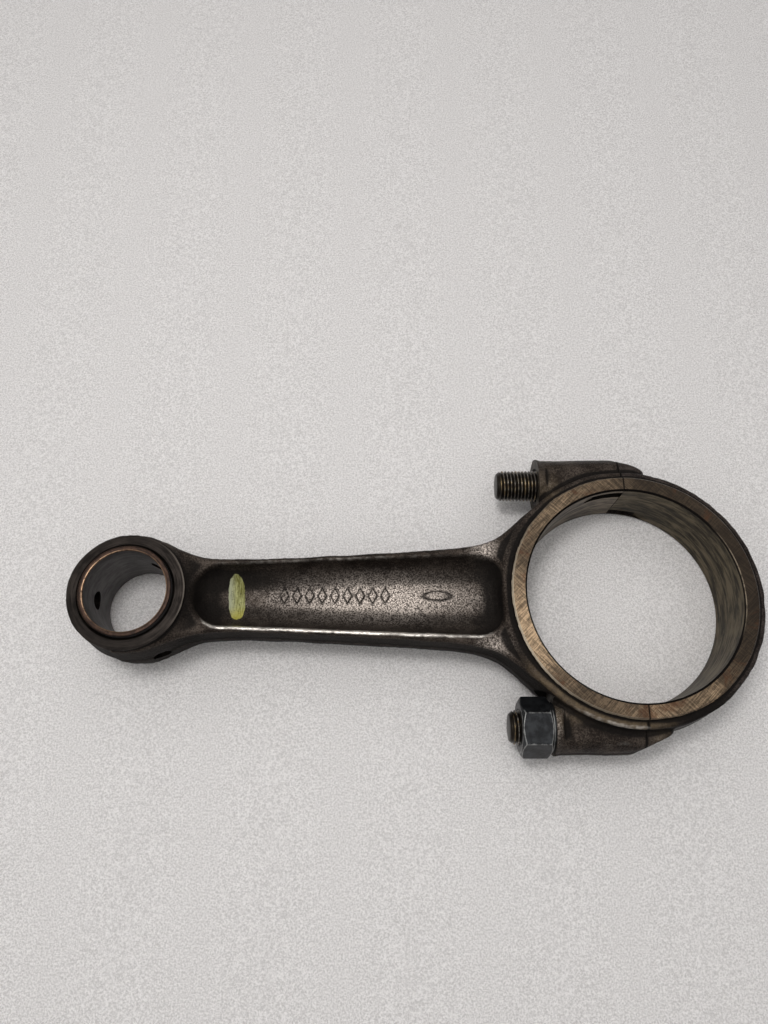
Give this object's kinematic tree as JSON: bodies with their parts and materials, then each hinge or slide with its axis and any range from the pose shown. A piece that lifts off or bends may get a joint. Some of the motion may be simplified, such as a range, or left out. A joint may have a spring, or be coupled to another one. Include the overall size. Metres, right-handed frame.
{
  "type": "connecting rod",
  "caption": "Forged steel connecting rod with an I-section shank, bushed small end and split big end; a clamped cap carries two fitted bolts.",
  "frame": {"origin": "centre of the big-end bore, half way through its thickness", "axes": "+X from the small end towards the bearing cap, +Z along both bores"},
  "size_m": [0.1898, 0.0849, 0.0242],
  "materials": {
    "rod_steel": "as forged, dark oxide skin with worn bright edges",
    "cap_steel": "as forged, dark oxide skin with ground faces",
    "bush_bronze": "oil darkened bronze",
    "bolt_steel": "rolled thread, oil stained",
    "nut_black": "black oxide, worn at the corners"
  },
  "bodies": {
    "rod": {"rod_forging": "rod_steel", "small_end_bush": "bush_bronze"},
    "cap": {"bearing_cap": "cap_steel", "upper_bolt": "bolt_steel", "lower_bolt": "bolt_steel"},
    "nut": {"lower_nut": "nut_black"}
  },
  "joints": [
    {"name": "cap_slide", "type": "slide", "parent": "rod", "child": "cap", "axis": [1, 0, 0], "range_m": [0, 0.011]},
    {"name": "nut_turn", "type": "hinge", "parent": "rod", "child": "nut", "pos_m": [-0.0233, -0.0345, 0], "axis": [-1, 0, 0], "range_deg": [0, 3965]}
  ],
  "couplings": [
    {"joint": "nut_turn", "follows": "cap_slide", "rad_per_m": 6283.2}
  ]
}
